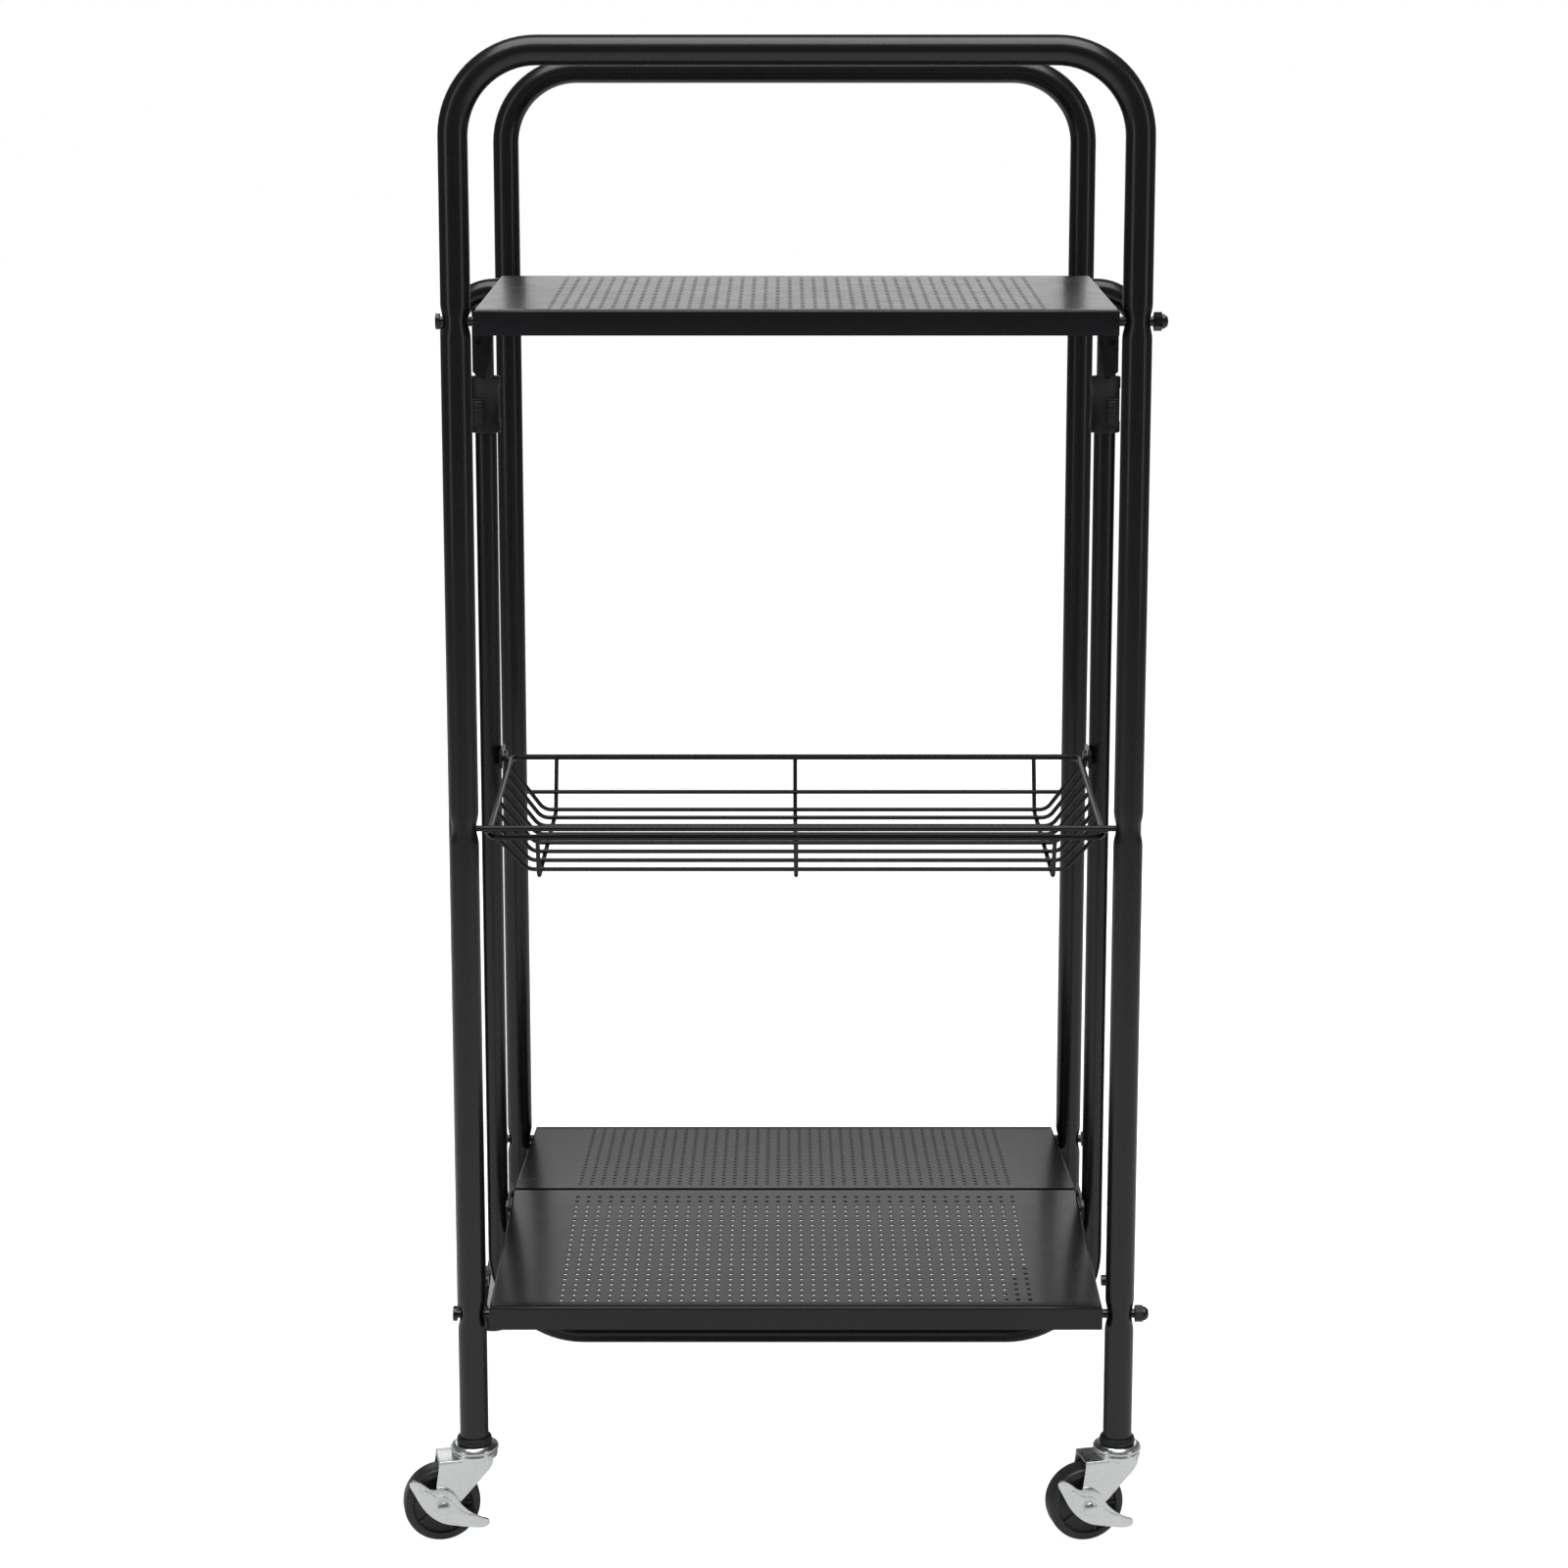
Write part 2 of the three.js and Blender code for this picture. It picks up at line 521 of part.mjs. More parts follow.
// The origin is the centre of the cart's footprint on the floor, with its casters trailing as they stand.
cart.updateMatrixWorld(true);
const footprint = new THREE.Box3().setFromObject(cart, true).getCenter(vec(0, 0, 0));
cart.position.set(-footprint.x, -footprint.y, 0);

export default cart;
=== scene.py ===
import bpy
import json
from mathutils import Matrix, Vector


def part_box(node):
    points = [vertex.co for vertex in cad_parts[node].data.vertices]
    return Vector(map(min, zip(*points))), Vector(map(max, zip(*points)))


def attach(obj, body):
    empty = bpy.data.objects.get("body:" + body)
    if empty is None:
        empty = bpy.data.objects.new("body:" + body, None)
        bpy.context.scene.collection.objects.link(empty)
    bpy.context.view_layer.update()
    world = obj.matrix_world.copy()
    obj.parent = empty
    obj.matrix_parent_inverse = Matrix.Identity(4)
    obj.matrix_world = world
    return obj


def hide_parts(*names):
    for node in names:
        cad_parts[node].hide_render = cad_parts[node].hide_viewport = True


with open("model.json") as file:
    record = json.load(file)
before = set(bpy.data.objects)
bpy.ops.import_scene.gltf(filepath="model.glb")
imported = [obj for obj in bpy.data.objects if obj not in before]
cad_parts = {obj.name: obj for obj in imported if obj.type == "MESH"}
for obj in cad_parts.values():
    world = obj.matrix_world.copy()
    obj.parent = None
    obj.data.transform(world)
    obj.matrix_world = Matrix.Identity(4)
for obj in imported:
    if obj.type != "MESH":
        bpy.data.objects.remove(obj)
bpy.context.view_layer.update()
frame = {"nodes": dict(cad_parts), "record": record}

import json
import math

import bpy
from mathutils import Matrix, Vector

# ---------------------------------------------------------------- sizes, in metres
HANDS = (("left", -1), ("right", 1))
ENDS = (("front", -1), ("rear", 1))
SLOPE = math.radians(4.5)
CASTER_YAW = math.radians(12)

LEG_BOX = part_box("front_frame_tube")
REAR_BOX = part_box("rear_frame_tube")
CENTRE_X = (LEG_BOX[0].x + LEG_BOX[1].x) / 2
FRONT_Y = (LEG_BOX[0].y + LEG_BOX[1].y) / 2
REAR_Y = (REAR_BOX[0].y + REAR_BOX[1].y) / 2
CENTRE_Y = (FRONT_Y + REAR_Y) / 2
LEG_R = 0.0095
HANDLE_Z = LEG_BOX[1].z - LEG_R
LEG_END_Z = LEG_BOX[0].z
HANDLE_BEND = 0.053
LOOP_R = 0.008
LOOP_BEND = 0.030
SLIM_R = 0.0075
SLIM_BEND = 0.061
SHELF_HALF = 0.203
SHEET = 0.001
PIVOT_DEPTH = 0.008      # from a half shelf's top face down to its outer pivot
LIP = 0.016
LINK_RUN = 0.169         # level distance from a leg's pivot to the centre frame's
LINK = LINK_RUN / math.cos(SLOPE)
FOLD_RUN = 0.185         # level distance from a leg's pivot to the fold line
FOLD_GAP = 0.001
SHEET_FRONT = -PIVOT_DEPTH
SHEET_FOLD = FOLD_RUN / math.cos(SLOPE) - PIVOT_DEPTH * math.tan(SLOPE) - FOLD_GAP
HOLE_PITCH = 0.008
HOLE_COLUMNS = 40
HOLE_ROWS = 22
HOLE_R = 0.0016
ROUND_HOLE = 0.0858      # the bevel profile that makes a regular eight-sided hole
BASKET_HALF = 0.200
BASKET_FLOOR_HALF = 0.176
WHEEL_R = 0.0255
TRAIL = 0.0225


def middle(node):
    low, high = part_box(node)
    return (low + high) / 2


LEG_X = (middle("stem_socket_front_right").x - middle("stem_socket_front_left").x) / 2
PIVOT_Z = {level: middle(f"front_{level}_pivot_rod").z for level in ("top", "bottom")}
BASKET_Z = middle("basket_lug_left").z - LINK_RUN * math.tan(SLOPE)


# ---------------------------------------------------------------- modelling helpers
def deselect():
    if bpy.context.object and bpy.context.object.mode != "OBJECT":
        bpy.ops.object.mode_set(mode="OBJECT")
    bpy.ops.object.select_all(action="DESELECT")


def pick(obj):
    deselect()
    obj.select_set(True)
    bpy.context.view_layer.objects.active = obj


def named_new(name):
    obj = bpy.context.object
    obj.name = name
    obj.data.name = name
    return obj


def edit_all(kind="VERT"):
    bpy.ops.object.mode_set(mode="EDIT")
    bpy.ops.mesh.select_mode(type=kind)
    bpy.ops.mesh.select_all(action="SELECT")


def choose(obj, kind, test):
    """Selects the vertices, edges or faces that pass a test, and stays in edit mode."""
    pick(obj)
    edit_all(kind)
    bpy.ops.mesh.select_all(action="DESELECT")
    bpy.ops.object.mode_set(mode="OBJECT")
    elements = {"VERT": obj.data.vertices, "EDGE": obj.data.edges, "FACE": obj.data.polygons}[kind]
    for element in elements:
        element.select = test(element)
    bpy.ops.object.mode_set(mode="EDIT")


def pull(move):
    bpy.ops.mesh.extrude_region_move(TRANSFORM_OT_translate={"value": move})


def swell(factors, centre):
    bpy.ops.transform.resize(value=factors, center_override=centre)


def settle():
    """Leaves a piece's place in its mesh, with the object at the origin."""
    bpy.ops.object.mode_set(mode="OBJECT")
    bpy.ops.object.transform_apply(location=True, rotation=True, scale=True)


def close_up(obj, capped):
    """Merges doubles, caps the open ends and turns the faces outwards."""
    edit_all("EDGE")
    bpy.ops.mesh.remove_doubles(threshold=2e-6)
    if capped:
        bpy.ops.mesh.select_all(action="DESELECT")
        bpy.ops.mesh.select_non_manifold()
        bpy.ops.mesh.edge_face_add()
    bpy.ops.mesh.select_all(action="SELECT")
    bpy.ops.mesh.normals_make_consistent(inside=False)
    settle()
    return obj


def put(obj, place):
    """Moves a piece by a matrix and leaves its place in its mesh."""
    pick(obj)
    obj.matrix_world = place @ obj.matrix_world
    bpy.ops.object.transform_apply(location=True, rotation=True, scale=True)
    return obj


def modify(obj, kind, **settings):
    pick(obj)
    modifier = obj.modifiers.new(kind.lower(), kind)
    for key, value in settings.items():
        setattr(modifier, key, value)
    bpy.ops.object.modifier_apply(modifier=modifier.name)
    return obj


def smooth(obj, angle=40):
    pick(obj)
    bpy.ops.object.shade_smooth_by_angle(angle=math.radians(angle))
    return obj


def joined(name, pieces):
    deselect()
    for piece in pieces:
        piece.select_set(True)
    bpy.context.view_layer.objects.active = pieces[0]
    if len(pieces) > 1:
        bpy.ops.object.join()
    return named_new(name)


def copied(obj, name, place):
    pick(obj)
    bpy.ops.object.duplicate(linked=False)
    return put(named_new(name), place)


def finish_piece(obj, material, slot, body, *nodes):
    obj.data.materials.clear()
    obj.data.materials.append(material)
    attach(obj, body)
    if nodes:
        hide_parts(*nodes)


def rod(name, corners, radius, bend=0.01, sides=14, steps=8, closed=False):
    """A round rod or tube: a ring pulled along each straight run and spun round each corner."""
    corners = [Vector(corner) for corner in corners]
    here = corners[0]
    heading = (corners[1] - here).normalized()
    facing = heading.to_track_quat("Z", "Y").to_euler()
    deselect()
    bpy.ops.mesh.primitive_circle_add(vertices=sides, radius=radius, location=here, rotation=facing)
    obj = named_new(name)
    edit_all()
    for corner, after in zip(corners[1:], corners[2:]):
        leaving = (after - corner).normalized()
        turn = heading.angle(leaving)
        setback = bend * math.tan(turn / 2)
        pull(corner - heading * setback - here)
        inward = (leaving - heading * math.cos(turn)).normalized()
        hub = corner - heading * setback + inward * bend
        bpy.ops.mesh.spin(steps=steps, angle=-turn, center=hub, axis=heading.cross(leaving).normalized())
        here = corner + leaving * setback
        heading = leaving
    pull(corners[-1] - here)
    return close_up(obj, capped=not closed)


def turned(name, profile, sides=64, closed=False):
    """A piece turned about Z: a ring pulled and swelled through (radius, height) points."""
    radius, height = profile[0]
    deselect()
    bpy.ops.mesh.primitive_circle_add(vertices=sides, radius=radius, location=(0, 0, height))
    obj = named_new(name)
    edit_all()
    rest = profile[1:] + profile[:1] if closed else profile[1:]
    for next_radius, next_height in rest:
        pull((0, 0, next_height - height))
        factor = next_radius / radius
        swell((factor, factor, 1), (0, 0, next_height))
        radius, height = next_radius, next_height
    return close_up(obj, capped=not closed)


def plate(name, outline, thickness, bevel=0.0003):
    """A plate whose outline in XZ is drawn corner by corner, then pulled towards +Y."""
    here = Vector((outline[0][0], 0, outline[0][1]))
    deselect()
    bpy.ops.mesh.primitive_plane_add(size=0.001, location=here)
    obj = named_new(name)
    edit_all()
    bpy.ops.mesh.merge(type="CENTER")
    for x, z in outline[1:]:
        pull(Vector((x, 0, z)) - here)
        here = Vector((x, 0, z))
    bpy.ops.mesh.select_all(action="SELECT")
    bpy.ops.mesh.edge_face_add()
    pull((0, thickness, 0))
    close_up(obj, capped=False)
    return modify(obj, "BEVEL", width=bevel, segments=2, limit_method="ANGLE", angle_limit=math.radians(50))


def block(name, low, high, bevel=0.0005):
    low, high = Vector(low), Vector(high)
    deselect()
    bpy.ops.mesh.primitive_cube_add(size=1, location=(low + high) / 2, scale=high - low)
    obj = named_new(name)
    settle()
    return modify(obj, "BEVEL", width=bevel, segments=3, limit_method="ANGLE")


def arc(cx, cy, radius, start, end, steps):
    """Points on a circle from one angle to another, in degrees."""
    angles = [math.radians(start + (end - start) * k / steps) for k in range(steps + 1)]
    return [(cx + radius * math.cos(a), cy + radius * math.sin(a)) for a in angles]


# ---------------------------------------------------------------- shared effects
def surface_group():
    """Fine orange peel, slow cloudiness and light handling marks for a painted or moulded surface."""
    tree = bpy.data.node_groups.new("coated_surface", "ShaderNodeTree")
    face = tree.interface
    for title, kind, default in (
        ("Colour", "NodeSocketColor", (0.02, 0.02, 0.02, 1)),
        ("Cloud Colour", "NodeSocketColor", (0.03, 0.03, 0.03, 1)),
        ("Cloud Scale", "NodeSocketFloat", 9.0),
        ("Roughness", "NodeSocketFloat", 0.35),
        ("Roughness Spread", "NodeSocketFloat", 0.08),
        ("Peel Scale", "NodeSocketFloat", 900.0),
        ("Peel Height", "NodeSocketFloat", 0.05),
    ):
        face.new_socket(title, in_out="INPUT", socket_type=kind).default_value = default
    face.new_socket("Base Color", in_out="OUTPUT", socket_type="NodeSocketColor")
    face.new_socket("Roughness", in_out="OUTPUT", socket_type="NodeSocketFloat")
    face.new_socket("Normal", in_out="OUTPUT", socket_type="NodeSocketVector")
    nodes, links = tree.nodes, tree.links
    given = nodes.new("NodeGroupInput")
    out = nodes.new("NodeGroupOutput")
    place = nodes.new("ShaderNodeTexCoord")

    cloud = nodes.new("ShaderNodeTexNoise")
    cloud.inputs["Detail"].default_value = 5
    cloud.inputs["Roughness"].default_value = 0.6
    links.new(place.outputs["Object"], cloud.inputs["Vector"])
    links.new(given.outputs["Cloud Scale"], cloud.inputs["Scale"])
    spread = nodes.new("ShaderNodeValToRGB")
    spread.color_ramp.elements[0].position = 0.35
    spread.color_ramp.elements[1].position = 0.7
    links.new(cloud.outputs["Fac"], spread.inputs["Fac"])
    mix = nodes.new("ShaderNodeMix")
    mix.data_type = "RGBA"
    links.new(spread.outputs["Color"], mix.inputs["Factor"])
    links.new(given.outputs["Colour"], mix.inputs["A"])
    links.new(given.outputs["Cloud Colour"], mix.inputs["B"])
    links.new(mix.outputs["Result"], out.inputs["Base Color"])

    marks = nodes.new("ShaderNodeTexNoise")
    marks.inputs["Scale"].default_value = 60
    marks.inputs["Detail"].default_value = 8
    links.new(place.outputs["Object"], marks.inputs["Vector"])
    centred = nodes.new("ShaderNodeMath")
    centred.operation = "SUBTRACT"
    centred.inputs[1].default_value = 0.5
    links.new(marks.outputs["Fac"], centred.inputs[0])
    scaled = nodes.new("ShaderNodeMath")
    scaled.operation = "MULTIPLY_ADD"
    links.new(centred.outputs[0], scaled.inputs[0])
    links.new(given.outputs["Roughness Spread"], scaled.inputs[1])
    links.new(given.outputs["Roughness"], scaled.inputs[2])
    links.new(scaled.outputs[0], out.inputs["Roughness"])

    peel = nodes.new("ShaderNodeTexNoise")
    peel.inputs["Detail"].default_value = 2
    links.new(place.outputs["Object"], peel.inputs["Vector"])
    links.new(given.outputs["Peel Scale"], peel.inputs["Scale"])
    bump = nodes.new("ShaderNodeBump")
    bump.inputs["Distance"].default_value = 0.0004
    links.new(given.outputs["Peel Height"], bump.inputs["Strength"])
    links.new(peel.outputs["Fac"], bump.inputs["Height"])
    links.new(bump.outputs["Normal"], out.inputs["Normal"])
    return tree


def edge_highlight_group():
    """A mask that is bright along convex edges and broken up by noise, marking where a painted highlight is
    laid.
    """
    tree = bpy.data.node_groups.new("painted_edge_highlight", "ShaderNodeTree")
    face = tree.interface
    face.new_socket("Amount", in_out="INPUT", socket_type="NodeSocketFloat").default_value = 0.5
    face.new_socket("Mask", in_out="OUTPUT", socket_type="NodeSocketFloat")
    nodes, links = tree.nodes, tree.links
    given = nodes.new("NodeGroupInput")
    out = nodes.new("NodeGroupOutput")
    shape = nodes.new("ShaderNodeNewGeometry")
    place = nodes.new("ShaderNodeTexCoord")
    ramp = nodes.new("ShaderNodeMapRange")
    ramp.inputs["From Min"].default_value = 0.53
    ramp.inputs["From Max"].default_value = 0.68
    links.new(shape.outputs["Pointiness"], ramp.inputs["Value"])
    patch = nodes.new("ShaderNodeTexNoise")
    patch.inputs["Scale"].default_value = 140
    patch.inputs["Detail"].default_value = 6
    links.new(place.outputs["Object"], patch.inputs["Vector"])
    broken = nodes.new("ShaderNodeMath")
    broken.operation = "MULTIPLY"
    links.new(ramp.outputs["Result"], broken.inputs[0])
    links.new(patch.outputs["Fac"], broken.inputs[1])
    amount = nodes.new("ShaderNodeMath")
    amount.operation = "MULTIPLY"
    links.new(broken.outputs[0], amount.inputs[0])
    links.new(given.outputs["Amount"], amount.inputs[1])
    links.new(amount.outputs[0], out.inputs["Mask"])
    return tree


SURFACE = surface_group()
# EDGE holds the mask that places the painted edge highlight.
EDGE = edge_highlight_group()


# ---------------------------------------------------------------- materials
def coated(name, colour, cloud, roughness, peel_scale, peel_height, spread=0.1, edge=0.0, **fixed):
    """A coated or moulded finish: the surface group, with a painted highlight in pale grey laid along the
    edges.
    """
    material = bpy.data.materials.new(name)
    material.use_nodes = True
    nodes, links = material.node_tree.nodes, material.node_tree.links
    shader = nodes["Principled BSDF"]
    for socket, value in fixed.items():
        shader.inputs[socket.replace("_", " ")].default_value = value
    surface = nodes.new("ShaderNodeGroup")
    surface.node_tree = SURFACE
    surface.inputs["Colour"].default_value = (*colour, 1)
    surface.inputs["Cloud Colour"].default_value = (*cloud, 1)
    surface.inputs["Roughness"].default_value = roughness
    surface.inputs["Roughness Spread"].default_value = spread
    surface.inputs["Peel Scale"].default_value = peel_scale
    surface.inputs["Peel Height"].default_value = peel_height
    edge_highlight = nodes.new("ShaderNodeGroup")
    edge_highlight.node_tree = EDGE
    edge_highlight.inputs["Amount"].default_value = edge
    # Pale grey mixed in along the edges: a painted highlight, not wear.
    mix = nodes.new("ShaderNodeMix")
    mix.data_type = "RGBA"
    mix.inputs["B"].default_value = (0.09, 0.09, 0.10, 1)
    links.new(edge_highlight.outputs["Mask"], mix.inputs["Factor"])
    links.new(surface.outputs["Base Color"], mix.inputs["A"])
    links.new(mix.outputs["Result"], shader.inputs["Base Color"])
    links.new(surface.outputs["Roughness"], shader.inputs["Roughness"])
    links.new(surface.outputs["Normal"], shader.inputs["Normal"])
    return material


def zinc(name):
    """Bright zinc plate: clear metal with faint crystals and a blue-yellow passivation drift."""
    material = bpy.data.materials.new(name)
    material.use_nodes = True
    nodes, links = material.node_tree.nodes, material.node_tree.links
    shader = nodes["Principled BSDF"]
    shader.inputs["Metallic"].default_value = 1
    place = nodes.new("ShaderNodeTexCoord")
    crystal = nodes.new("ShaderNodeTexVoronoi")
    crystal.inputs["Scale"].default_value = 420
    drift = nodes.new("ShaderNodeTexNoise")
    drift.inputs["Scale"].default_value = 38
    drift.inputs["Detail"].default_value = 4
    fine = nodes.new("ShaderNodeTexNoise")
    fine.inputs["Scale"].default_value = 1600
    for texture in (crystal, drift, fine):
        links.new(place.outputs["Object"], texture.inputs["Vector"])
    tint = nodes.new("ShaderNodeValToRGB")
    tint.color_ramp.elements[0].color = (0.80, 0.85, 0.85, 1)
    tint.color_ramp.elements[1].color = (0.91, 0.93, 0.90, 1)
    links.new(drift.outputs["Fac"], tint.inputs["Fac"])
    links.new(tint.outputs["Color"], shader.inputs["Base Color"])
    rough = nodes.new("ShaderNodeMapRange")
    rough.inputs["To Min"].default_value = 0.22
    rough.inputs["To Max"].default_value = 0.30
    links.new(crystal.outputs["Distance"], rough.inputs["Value"])
    links.new(rough.outputs["Result"], shader.inputs["Roughness"])
    bump = nodes.new("ShaderNodeBump")
    bump.inputs["Strength"].default_value = 0.012
    bump.inputs["Distance"].default_value = 0.0001
    links.new(fine.outputs["Fac"], bump.inputs["Height"])
    links.new(bump.outputs["Normal"], shader.inputs["Normal"])
    return material


# Each edge amount sets how strong the painted highlight is along that finish's edges.
BLACK_COAT = coated("black_powder_coat", (0.0042, 0.0042, 0.0046), (0.0065, 0.0065, 0.0068), 0.28, 900, 0.08,
                    Specular_IOR_Level=0.5, Coat_Weight=0.2, Coat_Roughness=0.12)
SHELF_COAT = coated("shelf_powder_coat", (0.0060, 0.0066, 0.0078), (0.0085, 0.0092, 0.0105), 0.26, 700, 0.04,
                    edge=0.12, Specular_IOR_Level=0.42, Coat_Weight=0.06, Coat_Roughness=0.10)
WIRE_COAT = coated("wire_powder_coat", (0.0045, 0.0045, 0.005), (0.008, 0.008, 0.0085), 0.30, 1400, 0.10,
                   Specular_IOR_Level=0.5)
BLACK_PLASTIC = coated("moulded_black_plastic", (0.008, 0.008, 0.008), (0.012, 0.012, 0.012), 0.45, 2400, 0.3,
                       edge=0.2)
WHEEL_PLASTIC = coated("black_wheel_plastic", (0.020, 0.020, 0.019), (0.034, 0.033, 0.031), 0.40, 1500, 0.15,
                       spread=0.2, edge=0.5)
ZINC = zinc("bright_zinc_plate")
LOOKS = {
    "black_steel": BLACK_COAT,
    "shelf_steel": SHELF_COAT,
    "black_wire": WIRE_COAT,
    "black_plastic": BLACK_PLASTIC,
    "wheel_plastic": WHEEL_PLASTIC,
    "zinc_plate": ZINC,
}
for part in frame["record"]["subparts"]:
    cad = frame["nodes"][part["node"]]
    cad.data.materials.clear()
    cad.data.materials.append(LOOKS[part["material_slot"]])


# ---------------------------------------------------------------- tube frames
PINCH_REACH = 0.011
PINCH_STEP = 0.0022
PINCH_STEPS = range(-5, 6)
PINCH_DEPTH = 0.17


def pinch(tube, x, z):
    """Presses a leg flat from its two sides, where a rod goes through it."""
    for step in PINCH_STEPS:
        level = z + step * PINCH_STEP
        squeeze = 1 - PINCH_DEPTH * (0.5 + 0.5 * math.cos(math.pi * step * PINCH_STEP / PINCH_REACH))
        choose(tube, "VERT", lambda v: abs(v.co.z - level) < 1e-5 and abs(v.co.x - x) < 0.02)
        swell((squeeze, 1, 1), (x, 0, level))


def end_frame(label, y):
    left, right = CENTRE_X - LEG_X, CENTRE_X + LEG_X
    corners = [(left, y, LEG_END_Z), (left, y, HANDLE_Z), (right, y, HANDLE_Z), (right, y, LEG_END_Z)]
    tube = rod(f"{label}_frame", corners, LEG_R, HANDLE_BEND, 40, 18)
    levels = [*PIVOT_Z.values(), BASKET_Z] if y < CENTRE_Y else list(PIVOT_Z.values())
    for z in levels:
        for step in PINCH_STEPS:
            edit_all()
            bpy.ops.mesh.bisect(plane_co=(0, 0, z + step * PINCH_STEP), plane_no=(0, 0, 1))
            bpy.ops.object.mode_set(mode="OBJECT")
    for x in (left, right):
        for z in levels:
            pinch(tube, x, z)
    smooth(tube)
    finish_piece(tube, BLACK_COAT, "black_steel", f"{label}_frame", f"{label}_frame_tube")


for label, y in (("front", FRONT_Y), ("rear", REAR_Y)):
    end_frame(label, y)


# ---------------------------------------------------------------- centre frame
POCKET_RIM = 0.0014
POCKET_DEPTH = 0.0034
BUTTON_RIBS = 4
RIB_PITCH = 0.0032


def lift_loop():
    low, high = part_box("lift_loop")
    left, right, top = low.x + LOOP_R, high.x - LOOP_R, high.z - LOOP_R
    corners = [(left, CENTRE_Y, low.z), (left, CENTRE_Y, top),
               (right, CENTRE_Y, top), (right, CENTRE_Y, low.z)]
    loop = smooth(rod("lift_loop_tube", corners, LOOP_R, LOOP_BEND, 32, 16))
    finish_piece(loop, BLACK_COAT, "black_steel", "centre_frame", "lift_loop")


def slim_tube():
    low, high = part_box("slim_u_tube")
    left, right, bottom = CENTRE_X - LEG_X, CENTRE_X + LEG_X, low.z + SLIM_R
    corners = [(left, CENTRE_Y, high.z), (left, CENTRE_Y, bottom),
               (right, CENTRE_Y, bottom), (right, CENTRE_Y, high.z)]
    tube = smooth(rod("slim_tube", corners, SLIM_R, SLIM_BEND, 32, 18))
    finish_piece(tube, BLACK_COAT, "black_steel", "centre_frame", "slim_u_tube")


def loop_plugs():
    """Domed end plugs, each with a spigot up inside the loop's tube."""
    drop, spigot_r, spigot_top = 0.0065, 0.0062, 0.012
    dome = [(LOOP_R * r, drop * z) for r, z in arc(0, 0, 1, -84, 0, 8)]
    for hand, _ in HANDS:
        low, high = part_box(f"loop_plug_{hand}")
        shape = dome + [(spigot_r, 0.0), (spigot_r, spigot_top)]
        plug = smooth(turned(f"loop_end_plug_{hand}", shape, 40))
        put(plug, Matrix.Translation(((low.x + high.x) / 2, CENTRE_Y, low.z + drop)))
        finish_piece(plug, BLACK_PLASTIC, "black_plastic", "centre_frame", f"loop_plug_{hand}")


def sleeve(hand, side):
    """A moulded sleeve round the slim tube, with a neck above and a pocket for the push button."""
    low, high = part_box(f"tube_sleeve_{hand}")
    cap_low, cap_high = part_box(f"release_button_{hand}")
    x = CENTRE_X + side * LEG_X
    shape = [(0.0079, 0), (0.0098, 0), (0.0105, 0.0007), (0.0105, 0.0075), (0.0101, 0.0082),
             (0.0101, 0.0305), (0.0105, 0.0312), (0.0105, 0.0383), (0.0098, 0.039), (0.0079, 0.039)]
    body = smooth(turned("sleeve_body", shape, 48, closed=True))
    put(body, Matrix.Translation((x, CENTRE_Y, low.z)))
    lid = block("sleeve_lid", (x - 0.006, CENTRE_Y - 0.0075, low.z + 0.0355),
                (x + 0.006, CENTRE_Y + 0.0075, low.z + 0.0388), 0.0008)
    neck = block("sleeve_neck", (x - 0.006, CENTRE_Y - 0.0096, low.z + 0.0375),
                 (x + 0.006, CENTRE_Y + 0.003, high.z), 0.001)
    guard = block("sleeve_guard", (cap_low.x - POCKET_RIM, CENTRE_Y - 0.0112, cap_low.z - POCKET_RIM),
                  (cap_high.x + POCKET_RIM, CENTRE_Y - 0.0058, cap_high.z + POCKET_RIM), 0.0004)
    choose(guard, "FACE", lambda f: f.normal.y < -0.99)
    bpy.ops.mesh.inset(thickness=POCKET_RIM / 2)
    pull((0, POCKET_DEPTH, 0))
    bpy.ops.object.mode_set(mode="OBJECT")
    piece = smooth(joined(f"moulded_sleeve_{hand}", [body, lid, neck, guard]))
    finish_piece(piece, BLACK_PLASTIC, "black_plastic", "centre_frame", f"tube_sleeve_{hand}")


def push_button(hand):
    """A push button with four finger ribs across its face."""
    low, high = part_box(f"release_button_{hand}")
    pieces = [block(f"push_button_{hand}", low, high, 0.0008)]
    for k in range(BUTTON_RIBS):
        z = low.z + RIB_PITCH * (k + 1)
        pieces.append(block("rib", (low.x + 0.001, low.y - 0.0004, z - 0.0005),
                            (high.x - 0.001, low.y + 0.0006, z + 0.0005), 0.0003))
    cap = smooth(joined(f"push_button_{hand}", pieces))
    finish_piece(cap, BLACK_PLASTIC, "black_plastic", f"button_{hand}", f"release_button_{hand}")


lift_loop()
slim_tube()
loop_plugs()
for hand, side in HANDS:
    sleeve(hand, side)
    push_button(hand)


# ---------------------------------------------------------------- perforated shelves
TOUCH = 1e-4             # how near a point lies to an edge to count as on it


